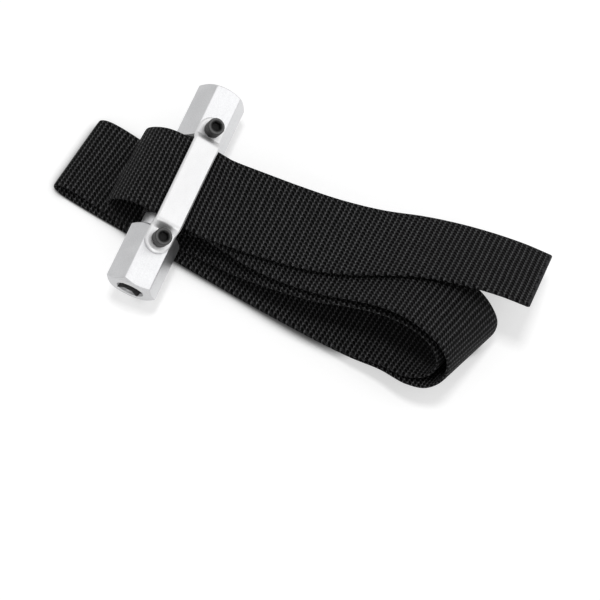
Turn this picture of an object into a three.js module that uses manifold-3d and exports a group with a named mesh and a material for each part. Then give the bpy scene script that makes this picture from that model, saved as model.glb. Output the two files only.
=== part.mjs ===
// Strap oil filter wrench: a hexagon bar with a round waist, a bridge plate screwed over the waist,
// and one length of webbing sewn round the waist and laid in two nested loops.
// Millimetres, +Z up. The bar lies along Y, the strap runs out along X.
import * as THREE from 'three';
import { mergeVertices } from 'three/addons/utils/BufferGeometryUtils.js';
import Module from 'manifold-3d';

// ---- Bar -------------------------------------------------------------------------------------
const HEX_ACROSS_FLATS = 27;
const BAR_LENGTH = 132;
const WAIST_LENGTH = 58;
const WAIST_DIAMETER = 22;
const CHAMFER_ANGLE = 30; // degrees between the chamfer cone and the end face
const CHAMFER_CIRCLE = 25; // diameter where the chamfer cone meets the end face
const DRIVE_SQUARE = 12.8; // half inch drive, across flats
const DRIVE_DEPTH = 17;
const DRIVE_PILOT = 13.6; // the drilled hole the square was broached into
const DRIVE_PILOT_EXTRA = 2.5; // how far the drilled hole goes past the square
const DRIVE_COUNTERSINK = 16.4;
const DRILL_POINT_ANGLE = 59; // half of the drill's point angle, degrees

// ---- Bridge plate and its screws -------------------------------------------------------------
const PLATE_WIDTH = 15.8;
const PLATE_THICKNESS = 2.8;
const PLATE_BEVEL = 0.9;
const SCREW_SPACING = 73;
const TOP_FLAT_LENGTH = 52.5; // flat stretch of the raised middle
const JOGGLE_RUN = 3.4; // length along the bar of each sloping step
const TAIL_ROOM = 5.7; // radial room for the tail between the sewn eye and the plate
const SCREW_DIAMETER = 6;
const SCREW_LENGTH = 16;
const SCREW_HEAD_DIAMETER = 10;
const SCREW_HEAD_HEIGHT = 6;
const SCREW_HEAD_CHAMFER = 0.6;
const SCREW_SOCKET = 5; // across flats
const SCREW_SOCKET_DEPTH = 3.2;
const SCREW_HOLE_EXTRA = 3; // tapped hole beyond the screw's tip
const WASHER_DIAMETER = 9.9;
const WASHER_THICKNESS = 1.6;
const WASHER_SPLIT = 0.9;
const WASHER_SPLIT_ANGLE = 25; // degrees from the screw's axis
const WASHER_TURN = { near: 144, far: 36 }; // degrees round the screw to each washer's split

// ---- Strap -----------------------------------------------------------------------------------
const STRAP_WIDTH = 50;
const STRAP_THICKNESS = 1.8;
const LAY_GAP = 0.55; // between layers lying on one another
const LEAN_EASE = 0.1; // how much further the layers part for each degree that they lean
const EYE_SHIFT = 3.3; // the eye sits a little toward the far shoulder of the waist

// ---- Fits ------------------------------------------------------------------------------------
const FIT = 0.3; // between pieces that rest on one another
const BORE_FIT = 0.3; // radial, screw in its holes
const BAR_ROLL = 25; // degrees, how the bar lies: its bridge tips toward the loops

// ---- Derived ---------------------------------------------------------------------------------
const HEX_FLAT = HEX_ACROSS_FLATS / 2;
const HEX_CORNER = HEX_FLAT / Math.cos(Math.PI / 6);
const WAIST_RADIUS = WAIST_DIAMETER / 2;
const HALF_STRAP = STRAP_THICKNESS / 2;
const LAY_PITCH = STRAP_THICKNESS + LAY_GAP;
const EYE_RADIUS = WAIST_RADIUS + FIT + HALF_STRAP; // centre of the webbing in the eye
const EYE_OUTSIDE = EYE_RADIUS + HALF_STRAP;
const BRIDGE_UNDERSIDE = EYE_OUTSIDE + TAIL_ROOM; // from the bar's axis
const FOOT_UNDERSIDE = HEX_FLAT + FIT;
const JOGGLE_HEIGHT = BRIDGE_UNDERSIDE - FOOT_UNDERSIDE;
const WASHER_SEAT = FOOT_UNDERSIDE + PLATE_THICKNESS + FIT;
const HEAD_SEAT = WASHER_SEAT + WASHER_THICKNESS + FIT;
const LAYERS_UNDER_BAR = 3;
const AXIS_HEIGHT = LAYERS_UNDER_BAR * LAY_PITCH + HEX_CORNER;
const ROUND_STEPS = 64;
const SMALL_STEPS = 40;
const OVERRUN = 1; // how far a cutter reaches past the face it cuts
const WELD = 1e-5; // points closer than this are one point
const DEG = Math.PI / 180;

// ---- Solids ----------------------------------------------------------------------------------
const wasm = await Module();
wasm.setup();

function toSolid(geometry) {
  const bare = geometry.clone();
  bare.deleteAttribute('normal');
  bare.deleteAttribute('uv');
  const merged = mergeVertices(bare, WELD);
  return new wasm.Manifold(new wasm.Mesh({
    numProp: 3,
    vertProperties: new Float32Array(merged.attributes.position.array),
    triVerts: new Uint32Array(merged.index.array),
  }));
}

function toGeometry(solid) {
  const mesh = solid.getMesh();
  const geometry = new THREE.BufferGeometry();
  const positions = new Float32Array(mesh.numVert * 3);
  for (let i = 0; i < mesh.numVert; i += 1) {
    for (let k = 0; k < 3; k += 1) {
      positions[3 * i + k] = mesh.vertProperties[i * mesh.numProp + k];
    }
  }
  geometry.setAttribute('position', new THREE.BufferAttribute(positions, 3));
  geometry.setIndex(new THREE.BufferAttribute(new Uint32Array(mesh.triVerts), 1));
  return geometry;
}

// A solid of revolution about Z from [radius, height] points, rising along the outside.
function revolved(profile, steps) {
  const points = profile.map(([r, z]) => new THREE.Vector2(r, z));
  return new THREE.LatheGeometry(points, steps).rotateX(Math.PI / 2);
}

// A hexagon prism about Z with flats facing +Y and -Y, between two heights.
function hexPrism(acrossFlats, low, high) {
  const corner = acrossFlats / 2 / Math.cos(Math.PI / 6);
  const prism = new THREE.CylinderGeometry(corner, corner, high - low, 6);
  return prism.rotateX(Math.PI / 2).rotateZ(Math.PI / 6).translate(0, 0, (high + low) / 2);
}

function block(x, y, z, cx, cy, cz) {
  return new THREE.BoxGeometry(x, y, z).translate(cx, cy, cz);
}

// ---- Bar: built standing on Z, then laid along Y ----------------------------------------------
function barGeometry() {
  const half = BAR_LENGTH / 2;
  const shoulder = WAIST_LENGTH / 2;
  const circle = CHAMFER_CIRCLE / 2;
  const wide = HEX_CORNER + OVERRUN;
  const run = (wide - circle) * Math.tan(CHAMFER_ANGLE * DEG);
  const hexEnd = (low, high) => toSolid(hexPrism(HEX_ACROSS_FLATS, low, high)).intersect(
    toSolid(revolved([[0, low], [circle, low], [wide, low + run], [wide, high - run],
      [circle, high], [0, high]], ROUND_STEPS)));
  const waist = toSolid(revolved([[0, -half + OVERRUN], [WAIST_RADIUS, -half + OVERRUN],
    [WAIST_RADIUS, half - OVERRUN], [0, half - OVERRUN]], ROUND_STEPS));
  let bar = waist.add(hexEnd(-half, -shoulder)).add(hexEnd(shoulder, half));

  const square = block(DRIVE_SQUARE, DRIVE_SQUARE, DRIVE_DEPTH + OVERRUN,
    0, 0, -half + (DRIVE_DEPTH - OVERRUN) / 2);
  const pilot = DRIVE_PILOT / 2;
  const bottom = -half + DRIVE_DEPTH + DRIVE_PILOT_EXTRA;
  const tip = bottom + pilot / Math.tan(DRILL_POINT_ANGLE * DEG);
  const drilled = revolved([[0, -half - OVERRUN], [pilot, -half - OVERRUN], [pilot, bottom],
    [0, tip]], ROUND_STEPS);
  const sink = DRIVE_COUNTERSINK / 2;
  const countersink = revolved([[0, -half - OVERRUN], [sink + OVERRUN, -half - OVERRUN],
    [0, -half + sink]], ROUND_STEPS);
  bar = bar.subtract(toSolid(square)).subtract(toSolid(drilled)).subtract(toSolid(countersink));

  const bore = SCREW_DIAMETER / 2 + BORE_FIT;
  const floor = HEAD_SEAT - SCREW_LENGTH - SCREW_HOLE_EXTRA;
  for (const side of [-1, 1]) {
    const tapped = revolved([[0, floor], [bore, floor], [bore, HEX_CORNER + OVERRUN],
      [0, HEX_CORNER + OVERRUN]], SMALL_STEPS);
    tapped.rotateX(-Math.PI / 2).translate(0, 0, side * SCREW_SPACING / 2);
    bar = bar.subtract(toSolid(tapped));
  }
  return toGeometry(bar).rotateX(-Math.PI / 2).rotateY(Math.PI);
}

// ---- Bridge plate: a bevelled flat bar with two joggles, rounded and bored at both ends --------
function plateGeometry() {
  const reach = SCREW_SPACING / 2 + PLATE_WIDTH / 2 + OVERRUN;
  const top = TOP_FLAT_LENGTH / 2;
  const foot = top + JOGGLE_RUN;
  const low = FOOT_UNDERSIDE;
  const high = BRIDGE_UNDERSIDE;
  const line = [[-reach, low], [-foot, low], [-top, high], [top, high], [foot, low], [reach, low]]
    .map(([y, z]) => new THREE.Vector2(y, z));
  const half = PLATE_WIDTH / 2;
  const section = [[-half, 0], [half, 0], [half, PLATE_THICKNESS - PLATE_BEVEL],
    [half - PLATE_BEVEL, PLATE_THICKNESS], [-half + PLATE_BEVEL, PLATE_THICKNESS],
    [-half, PLATE_THICKNESS - PLATE_BEVEL]];
  const rings = line.map((point, i) => {
    const before = line[Math.max(i - 1, 0)];
    const after = line[Math.min(i + 1, line.length - 1)];
    const into = point.clone().sub(before).normalize();
    const out = after.clone().sub(point).normalize();
    const along = into.add(out).normalize();
    const other = i === 0 || i === line.length - 1 ? along : out;
    const up = new THREE.Vector2(-along.y, along.x);
    const stretch = i === 0 || i === line.length - 1 ? 1 : 1 / Math.abs(other.dot(along));
    return section.map(([x, z]) => [x, point.x + up.x * z * stretch, point.y + up.y * z * stretch]);
  });
  let plate = toSolid(lofted(rings));

  const disc = (y) => revolved([[0, low - OVERRUN], [half, low - OVERRUN],
    [half, low + PLATE_THICKNESS - PLATE_BEVEL], [half - PLATE_BEVEL, low + PLATE_THICKNESS],
    [half - PLATE_BEVEL, low + PLATE_THICKNESS + OVERRUN],
    [0, low + PLATE_THICKNESS + OVERRUN]], ROUND_STEPS).translate(0, y, 0);
  const middle = block(PLATE_WIDTH + OVERRUN, SCREW_SPACING, 2 * high, 0, 0, high);
  const outline = toSolid(middle).add(toSolid(disc(-SCREW_SPACING / 2)))
    .add(toSolid(disc(SCREW_SPACING / 2)));
  plate = plate.intersect(outline);

  const bore = SCREW_DIAMETER / 2 + BORE_FIT;
  for (const side of [-1, 1]) {
    const hole = revolved([[0, low - OVERRUN], [bore, low - OVERRUN],
      [bore, low + PLATE_THICKNESS + OVERRUN], [0, low + PLATE_THICKNESS + OVERRUN]], SMALL_STEPS);
    plate = plate.subtract(toSolid(hole.translate(0, side * SCREW_SPACING / 2, 0)));
  }
  return toGeometry(plate);
}

// A closed skin over rings of equal length, capped at both ends.
function lofted(rings) {
  const count = rings[0].length;
  const positions = rings.flat(2);
  const index = [];
  for (let r = 0; r + 1 < rings.length; r += 1) {
    for (let k = 0; k < count; k += 1) {
      const a = r * count + k;
      const b = r * count + ((k + 1) % count);
      index.push(a, b, a + count, b, b + count, a + count);
    }
  }
  const last = (rings.length - 1) * count;
  for (let k = 1; k + 1 < count; k += 1) {
    index.push(0, k + 1, k, last, last + k, last + k + 1);
  }
  const geometry = new THREE.BufferGeometry();
  geometry.setAttribute('position', new THREE.Float32BufferAttribute(positions, 3));
  geometry.setIndex(index);
  return geometry;
}

// ---- Screw and split washer, axis on Z, heights from the bar's axis ----------------------------
function screwGeometry() {
  const head = SCREW_HEAD_DIAMETER / 2;
  const top = HEAD_SEAT + SCREW_HEAD_HEIGHT;
  const shank = SCREW_DIAMETER / 2;
  const tip = HEAD_SEAT - SCREW_LENGTH;
  const body = revolved([[0, tip], [shank - SCREW_HEAD_CHAMFER, tip],
    [shank, tip + SCREW_HEAD_CHAMFER], [shank, HEAD_SEAT], [head, HEAD_SEAT],
    [head, top - SCREW_HEAD_CHAMFER], [head - SCREW_HEAD_CHAMFER, top], [0, top]], SMALL_STEPS);
  const socket = hexPrism(SCREW_SOCKET, top - SCREW_SOCKET_DEPTH, top + OVERRUN);
  return toGeometry(toSolid(body).subtract(toSolid(socket)));
}

function washerGeometry() {
  const outer = WASHER_DIAMETER / 2;
  const inner = SCREW_DIAMETER / 2 + BORE_FIT;
  const low = WASHER_SEAT;
  const high = low + WASHER_THICKNESS;
  const ring = revolved([[inner, low], [outer, low], [outer, high], [inner, high], [inner, low]],
    SMALL_STEPS);
  const cut = new THREE.BoxGeometry(outer + OVERRUN, WASHER_SPLIT, 3 * WASHER_THICKNESS)
    .translate((outer + OVERRUN) / 2, 0, 0).rotateX(WASHER_SPLIT_ANGLE * DEG)
    .translate(0, 0, (low + high) / 2);
  return toGeometry(toSolid(ring).subtract(toSolid(cut)));
}

// ---- Strap: stations along one length of webbing, from the cut end to the sewn tab -------------
// Each station is [x, y, z, skew, lean]: the middle of the webbing, then how its width is turned in
// plan (degrees toward +X) and how its far edge is raised or lowered (degrees).
const layer = (n) => HALF_STRAP + (n - 1) * LAY_PITCH;
const FLAT_YAW = 9.2; // degrees, the bottom run heads toward the near side as it goes out
const FLAT_Y = -7; // where the middle of the bottom run passes under the bar
const bottomY = (x) => FLAT_Y - x * Math.tan(FLAT_YAW * DEG);
const resting = (n, x, lean) => [x, bottomY(x),
  layer(n) - Math.sin(lean * DEG) * STRAP_WIDTH / 2 - n * lean * LEAN_EASE, FLAT_YAW, lean];
const roundBar = (angle, radius, y, skew = 0) => [Math.sin(angle * DEG) * radius, y,
  AXIS_HEIGHT + Math.cos(angle * DEG) * radius, skew, 0];

const TAIL = [
  [211.6, 19.2, 39.4, 5, -29], [194, 20, 38.8, 5, -28], [170, 18.5, 38.5, 5, -26],
  [149, 15, 38.6, 5, -23], [135, 11.3, 38.4, 5, -19], [114, 5.7, 36.4, 4, -14],
  [91, 2.3, 33.6, 3, -8], [67, 1.2, 31.8, 3, -4], [43, 0.8, 31.3, 2, -1], [27, 0.8, 31.2, 0, 0],
  [20, 1, 32, 0, 0],
];
const UNDER_BRIDGE = [
  roundBar(56, EYE_OUTSIDE + 4.5, 1.2), roundBar(30, EYE_OUTSIDE + 2.3, 1.4),
  roundBar(4, EYE_OUTSIDE + 2.6, 1.8), roundBar(-20, EYE_OUTSIDE + 3.3, 2.6),
];
const SMALL_LOOP = [
  [-17, 4, 35.8, 2, 0], [-26, 4.4, 31, 2, 0], [-32.8, 4.6, 24, 2, 0], [-34.7, 4.4, 18, 3, 0],
  [-32.6, 3.2, 12.2, 3, 0], [-27.4, 1.4, 8.6, 4, 0], [-20, 0, layer(3) + 0.8, 5, 0],
  [-8, -1, layer(3), 5, 0],
];
const INNER_TOP = [
  [4, -2, layer(3), 6, 0], [14, -3, layer(3) + 0.3, 6, 0], [26, -4.4, 7.6, 6, 0],
  [40, -6.6, 9.8, 6, -3], [54, -9, 13.6, 7, -6], [80, -12, 20.8, 7, -12], [105, -13, 27, 8, -17],
  [121, -12, 31.4, 9, -20.5], [138, -11.8, 35.6, 10, -23.5], [150, -13, 38, 12, -25],
];
const INNER_TURN = [
  [162, -15.4, 39.6, 15, -25], [173, -18.6, 37.4, 18, -25], [180.4, -22.6, 31.6, 20, -25],
  [182.4, -26.6, 24.4, 20, -25], [178, -31, 17.6, 18, -25], [166, -33, 14.4, 14, -23],
];
const INNER_BOTTOM = [
  [150, -30, 13, 10, -18], resting(2, 132, -10), resting(2, 110, -5), resting(2, 85, -2),
  resting(2, 60, 0), resting(2, 30, 0), resting(2, 0, 0), resting(2, -15, 0),
];
const OUTER_LEFT = [
  [-30, 0.6, layer(2) + 1, 10, 0], [-45, 4, layer(2) + 3, 10, 0], [-58, 6.2, layer(2) + 4.6, 9, 0],
  [-65.4, 6.8, layer(2) + 4.6, 8, 0], [-70.2, 6.6, layer(2) + 2.2, 8, 0],
  [-70.8, 5.8, layer(2), 8, 0], [-67.4, 4.6, layer(1) + 0.4, 8, 0], [-60, 3, layer(1), 9, 0],
];
const OUTER_BOTTOM = [
  resting(1, -45, 0), resting(1, -15, 0), resting(1, 15, 0), resting(1, 45, 0), resting(1, 60, 0),
  resting(1, 85, -2), resting(1, 110, -5), resting(1, 132, -10), [150, -31.4, 9.4, 10, -18],
];
const OUTER_TURN = [
  [168, -36, 11.6, 14, -23], [180.4, -36, 14, 19, -25], [188.2, -32, 22, 22, -25],
  [188.8, -26.4, 32, 22, -25], [182, -21, 40.8, 18, -25], [171.6, -17, 46, 15, -25],
  [159, -13.6, 47.6, 12, -25],
];
const OUTER_TOP = [
  [147, -11.4, 45.6, 9, -25], [136, -10, 42, 8, -24], [120, -9.6, 36.6, 7, -20.5],
  [105, -9.8, 32.2, 6, -17], [88, -8.8, 28.8, 5, -12], [70, -7, 26.8, 4, -8], [54, -4, 25.6, 3, -4],
  [43, -0.9, 25.2, 2, -1], [33, 1.2, 25.4, 0, 0],
];
const EYE_LEAVES = 24; // degrees past the top where the webbing leaves the waist
const EYE_TOP_LINE = 12; // length of the straight bit from the waist to the first free station
const leaving = (distance) => {
  const [x, y, z] = roundBar(EYE_LEAVES, EYE_RADIUS, EYE_SHIFT);
  return [x + distance * Math.cos(EYE_LEAVES * DEG), y, z - distance * Math.sin(EYE_LEAVES * DEG), 0, 0];
};
const EYE_ENDS = -205; // degrees, measured the long way round, where it leaves the waist again
const EYE_STEPS = 14;
// The tab's rise from the waist, as x, y, and height from the axis, in shares of the eye's radius.
const TAB_RISE = [[1.28, 0.245, -0.364], [1.672, 0.213, -0.036]].map(([x, y, z]) =>
  [x * EYE_RADIUS, y * EYE_RADIUS, AXIS_HEIGHT + z * EYE_RADIUS, 0, 0]);
const TAB_UNDER_TOP = [26, 34, 42]; // places along X where the sewn tab lies under the top run

function strapStations() {
  const eye = [];
  for (let i = 0; i <= EYE_STEPS; i += 1) {
    eye.push(roundBar(EYE_LEAVES + (EYE_ENDS - EYE_LEAVES) * i / EYE_STEPS, EYE_RADIUS, EYE_SHIFT));
  }
  const eyeRun = [leaving(EYE_TOP_LINE), leaving(EYE_TOP_LINE / 2), ...eye];
  const before = [...TAIL, ...UNDER_BRIDGE, ...SMALL_LOOP, ...INNER_TOP, ...INNER_TURN,
    ...INNER_BOTTOM, ...OUTER_LEFT, ...OUTER_BOTTOM, ...OUTER_TURN, ...OUTER_TOP];
  const topAt = (x) => {
    const line = [...OUTER_TOP, leaving(EYE_TOP_LINE)];
    const i = line.findIndex((row, k) => k + 1 < line.length && row[0] >= x && line[k + 1][0] <= x);
    const [a, b] = [line[i], line[i + 1]];
    const t = (x - a[0]) / (b[0] - a[0]);
    return a.map((value, k) => value + (b[k] - value) * t);
  };
  const tab = TAB_UNDER_TOP.map((x) => {
    const row = topAt(x);
    row[2] -= LAY_PITCH + LAY_GAP;
    return row;
  });
  return [...before, ...eyeRun, ...TAB_RISE, ...tab];
}

const STEPS_PER_SPAN = 5;

// One column of the stations between row `span` and the next, passing smoothly through both.
function eased(stations, span, part, column) {
  const row = (i) => stations[Math.min(Math.max(i, 0), stations.length - 1)][column];
  const [before, from, to, after] = [row(span - 1), row(span), row(span + 1), row(span + 2)];
  const out = (to - before) / 2;
  const into = (after - from) / 2;
  const bend = 2 * (from - to) + out + into;
  const sag = to - from - out - bend;
  return from + part * (out + part * (sag + part * bend));
}

// The webbing as a ruled band: its width is carried along the stations and eased between them.
function strapGeometry() {
  const stations = strapStations();
  const points = stations.map(([x, y, z]) => new THREE.Vector3(x, y, z));
  const curve = new THREE.CatmullRomCurve3(points, false, 'centripetal');
  const spans = stations.length - 1;
  const rings = [];
  for (let i = 0; i <= spans * STEPS_PER_SPAN; i += 1) {
    const t = i / (spans * STEPS_PER_SPAN);
    const span = Math.min(Math.floor(i / STEPS_PER_SPAN), spans - 1);
    const part = i / STEPS_PER_SPAN - span;
    const skew = eased(stations, span, part, 3) * DEG;
    const lean = eased(stations, span, part, 4) * DEG;
    const along = curve.getTangent(t);
    const wide = new THREE.Vector3(Math.sin(skew) * Math.cos(lean), Math.cos(skew) * Math.cos(lean),
      Math.sin(lean));
    const thick = new THREE.Vector3().crossVectors(wide, along).normalize();
    const middle = curve.getPoint(t);
    rings.push([[-1, -1], [1, -1], [1, 1], [-1, 1]].map(([u, v]) => middle.clone()
      .addScaledVector(wide, u * STRAP_WIDTH / 2).addScaledVector(thick, v * HALF_STRAP).toArray()));
  }
  return lofted(rings);
}

// ---- Assembly --------------------------------------------------------------------------------
function piece(name, geometry, color, roughness, metalness) {
  let body = geometry;
  if (volume(body) < 0) {
    body = flipped(body);
  }
  body = body.clone();
  body.computeVertexNormals();
  const mesh = new THREE.Mesh(body, new THREE.MeshStandardMaterial({ color, roughness, metalness }));
  mesh.name = name;
  return mesh;
}

function volume(geometry) {
  const p = geometry.attributes.position;
  const index = geometry.index.array;
  const [a, b, c] = [new THREE.Vector3(), new THREE.Vector3(), new THREE.Vector3()];
  let total = 0;
  for (let i = 0; i < index.length; i += 3) {
    a.fromBufferAttribute(p, index[i]);
    b.fromBufferAttribute(p, index[i + 1]);
    c.fromBufferAttribute(p, index[i + 2]);
    total += a.dot(b.cross(c)) / 6;
  }
  return total;
}

function flipped(geometry) {
  const index = geometry.index.array.slice();
  for (let i = 0; i < index.length; i += 3) {
    [index[i + 1], index[i + 2]] = [index[i + 2], index[i + 1]];
  }
  const turned = geometry.clone();
  turned.setIndex(new THREE.BufferAttribute(index, 1));
  return turned;
}

const wrench = new THREE.Group();
wrench.name = 'strap_wrench';
const barGroup = new THREE.Group();
barGroup.name = 'bar_group';
barGroup.position.set(0, 0, AXIS_HEIGHT);
barGroup.rotation.y = BAR_ROLL * DEG;
barGroup.add(piece('drive_bar', barGeometry(), 0xd9dadb, 0.32, 1));
barGroup.add(piece('strap_bridge', plateGeometry(), 0xe6e6e6, 0.25, 1));
for (const [side, label] of [[-1, 'near'], [1, 'far']]) {
  const screw = piece(`bridge_screw_${label}`, screwGeometry(), 0x202124, 0.45, 0.8);
  const washer = piece(`lock_washer_${label}`, washerGeometry(), 0x2b2c2e, 0.45, 0.8);
  screw.position.y = side * SCREW_SPACING / 2;
  washer.position.y = side * SCREW_SPACING / 2;
  washer.rotation.z = WASHER_TURN[label] * DEG;
  barGroup.add(screw, washer);
}
wrench.add(barGroup);
wrench.add(piece('webbing_strap', strapGeometry(), 0x17181a, 0.9, 0));

wrench.updateMatrixWorld(true);
const box = new THREE.Box3().setFromObject(wrench);
const middle = box.getCenter(new THREE.Vector3());
wrench.position.set(-middle.x, -middle.y, -box.min.z);
wrench.updateMatrixWorld(true);

export default wrench;
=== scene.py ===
# %% [markdown]
# # Strap oil filter wrench
# A hexagon drive bar with a round waist, a bridge plate screwed across the waist, and one long
# strap of heavy webbing. The strap is sewn round the waist, lies in two nested loops and comes
# back out under the bridge. The CAD pieces set every place and size here; this file gives them
# their looks.

# %% Load the CAD frame
import math

import bmesh
import bpy
import numpy as np
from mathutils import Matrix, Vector


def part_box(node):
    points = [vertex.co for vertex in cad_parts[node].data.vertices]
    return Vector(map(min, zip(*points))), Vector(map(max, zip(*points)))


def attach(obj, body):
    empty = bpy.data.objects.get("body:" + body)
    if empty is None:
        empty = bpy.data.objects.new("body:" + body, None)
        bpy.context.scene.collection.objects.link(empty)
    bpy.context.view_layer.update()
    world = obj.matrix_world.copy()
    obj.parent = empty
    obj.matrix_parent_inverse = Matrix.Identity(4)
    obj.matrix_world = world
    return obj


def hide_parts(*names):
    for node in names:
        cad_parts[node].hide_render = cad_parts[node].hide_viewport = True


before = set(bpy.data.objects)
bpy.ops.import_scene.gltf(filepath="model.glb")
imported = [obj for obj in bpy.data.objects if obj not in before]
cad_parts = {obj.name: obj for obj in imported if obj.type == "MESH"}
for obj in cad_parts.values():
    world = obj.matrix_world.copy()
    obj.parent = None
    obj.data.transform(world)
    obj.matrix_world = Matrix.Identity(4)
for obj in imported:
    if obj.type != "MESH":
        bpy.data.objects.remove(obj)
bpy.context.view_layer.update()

MM = 0.001

# %% [markdown]
# ## Camera
# The tool is looked down on from in front of its socketed end, a little to the right, with a lens
# about twice as long as the sensor is wide, which keeps the near end from looming. A camera looks
# along its own -Z, so the direction to the object is turned into a rotation with `to_track_quat`.

# %% Camera
CAMERA_PLACE = Vector((103.94, -237.42, 649.63)) * MM
AZIMUTH = math.radians(22.144)
ELEVATION = math.radians(70.827)
LENS = 71.05  # millimetres, on a sensor 36 mm wide


def put_in_scene(name, data):
    """An object that holds this data, at the origin."""
    holder = bpy.data.objects.new(name, data)
    bpy.context.scene.collection.objects.link(holder)
    return holder


camera_data = bpy.data.cameras.new("camera")
camera_data.lens = LENS
camera_data.sensor_width = 36
camera_data.clip_start = 0.01
camera = put_in_scene("camera", camera_data)
look = -Vector((math.sin(AZIMUTH) * math.cos(ELEVATION),
                -math.cos(AZIMUTH) * math.cos(ELEVATION), math.sin(ELEVATION)))
camera.location = CAMERA_PLACE
camera.rotation_euler = look.to_track_quat("-Z", "Y").to_euler()
bpy.context.scene.camera = camera
print("camera looks along", [round(v, 3) for v in look])

# %% [markdown]
# ## A small kit for node materials
# Every finish here is a graph of shader nodes. This kit adds a node, types its numbers in and
# joins its sockets in one call. A number that is the same all over a surface goes on the shader's
# own socket.

# %% Node kit
class Graph:
    """The node tree of a material or world; its calls add a node and return its output."""

    def __init__(self, owner):
        owner.use_nodes = True
        self.tree = owner.node_tree
        self.tree.nodes.clear()

    def add(self, kind, inputs=(), **settings):
        """Adds a node: settings are its own fields, inputs go from socket to value or output."""
        node = self.tree.nodes.new(kind)
        for field, value in settings.items():
            setattr(node, field, value)
        for socket, value in dict(inputs).items():
            target = node.inputs[socket]
            if isinstance(value, bpy.types.NodeSocket):
                self.tree.links.new(value, target)
            else:
                target.default_value = value
        return node

    def math(self, operation, *values, clamp=False):
        return self.add("ShaderNodeMath", dict(enumerate(values)), operation=operation,
                        use_clamp=clamp).outputs[0]

    def times(self, a, b):
        return self.math("MULTIPLY", a, b)

    def times_plus(self, a, b, c):
        return self.math("MULTIPLY_ADD", a, b, c)

    def minus(self, a, b):
        return self.math("SUBTRACT", a, b)

    def ramp(self, value, low, high, to_low=0.0, to_high=1.0):
        """Value from low..high to to_low..to_high, eased at both ends and held outside."""
        limits = {"From Min": low, "From Max": high, "To Min": to_low, "To Max": to_high}
        return self.add("ShaderNodeMapRange", {"Value": value, **limits},
                        interpolation_type="SMOOTHSTEP").outputs[0]

    def mix(self, amount, first, second):
        """Colour from first to second as amount goes from 0 to 1."""
        return self.add("ShaderNodeMix", {0: amount, 6: first, 7: second},
                        data_type="RGBA").outputs[2]

    def noise(self, vector, scale, detail=2.0, rough=0.5):
        return self.add("ShaderNodeTexNoise", {"Vector": vector, "Scale": scale,
                        "Detail": detail, "Roughness": rough}).outputs[0]

    def vector(self, x, y, z=0.0):
        return self.add("ShaderNodeCombineXYZ", {0: x, 1: y, 2: z}).outputs[0]

    def object_place(self):
        """The point's place in metres, in the shared frame."""
        return self.add("ShaderNodeTexCoord").outputs["Object"]

    def stretched(self, vector, x, y, z, turn=(0.0, 0.0, 0.0)):
        """The place turned and scaled: noise read there is long where the scale is low."""
        return self.add("ShaderNodeMapping", {"Vector": vector, "Rotation": turn,
                        "Scale": (x, y, z)}).outputs[0]

    def split(self, vector):
        return self.add("ShaderNodeSeparateXYZ", {0: vector}).outputs

    def seen_rays(self):
        """1 on camera, glossy and transmission rays."""
        path = self.add("ShaderNodeLightPath").outputs
        either = self.math("MAXIMUM", path["Is Camera Ray"], path["Is Glossy Ray"])
        return self.math("MAXIMUM", either, path["Is Transmission Ray"])

    def distance(self, a, b):
        """The square root of the sum of two squares."""
        return self.math("SQRT", self.math("ADD", self.times(a, a), self.times(b, b)))

    def dimmed(self, colour, amount):
        """The colour times an amount."""
        return self.add("ShaderNodeVectorMath", {0: colour, "Scale": amount},
                        operation="SCALE").outputs[0]

    def bump(self, height, distance, **more):
        wires = {"Height": height, "Distance": distance, **more}
        return self.add("ShaderNodeBump", wires).outputs[0]

    def normal(self):
        return self.add("ShaderNodeNewGeometry").outputs["Normal"]

    def wire_out(self, shader, kind="Material"):
        self.tree.links.new(shader.outputs[0], self.add("ShaderNodeOutput" + kind).inputs[0])

    def surface(self, **inputs):
        """The Principled shader with the given sockets, wired to the output."""
        named = {name.replace("_", " "): value for name, value in inputs.items()}
        self.wire_out(self.add("ShaderNodeBsdfPrincipled", named))


def new_material(name, *pieces):
    """The node graph of a new material that these pieces wear."""
    material = bpy.data.materials.new(name)
    for piece in pieces:
        piece.data.materials.append(material)
    return Graph(material)


def grey(value):
    return (value, value, value, 1.0)


print("node kit ready")

# %% [markdown]
# ## The strap's route
# The strap is one piece of webbing about 1.3 m long. Its middle line is a smooth curve through
# stations, and at each station two angles say how its width lies: `skew` turns it in plan and
# `lean` tips it over. The curve is the centripetal Catmull-Rom spline, which passes through every
# station and doesn't overshoot where they stand close together. The same stations shape the CAD
# strap, but for the sewn tab: here it lies closer under its run, as stitches would pull it.

# %% Sizes of the strap and the bar, in millimetres and degrees
WIDTH = 50.0
THICKNESS = 1.8
HALF = THICKNESS / 2
LAY_GAP = 0.55  # between layers on the table
LAY_PITCH = THICKNESS + LAY_GAP
WAIST_RADIUS = 11.0
HEX_FLAT = 13.5  # from the bar's axis to a flat
HEX_CORNER = HEX_FLAT / math.cos(math.pi / 6)
AXIS_HEIGHT = 3 * LAY_PITCH + HEX_CORNER  # three layers lie under the bar
EYE_GAP = 0.3  # between waist and webbing
EYE_RADIUS = WAIST_RADIUS + EYE_GAP + HALF
EYE_OUTSIDE = EYE_RADIUS + HALF
EYE_SHIFT = 3.3  # along the bar, from its middle
FLAT_YAW = 9.2  # of the flat runs, in plan
FLAT_LINE = -7  # y where they cross the bar's axis
LEAN_EASE = 0.1  # rise of a leaning run for each degree and layer
print(f"the bar's axis is {AXIS_HEIGHT:.2f} mm above the table")


# %% Helpers: where a station lies
def layer(n):
    return HALF + (n - 1) * LAY_PITCH


def resting(n, x, lean):
    """A station of a flat run in layer n on the table."""
    y = FLAT_LINE - x * math.tan(math.radians(FLAT_YAW))
    drop = math.sin(math.radians(lean)) * WIDTH / 2
    return [x, y, layer(n) - drop - n * lean * LEAN_EASE, FLAT_YAW, lean]


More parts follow.
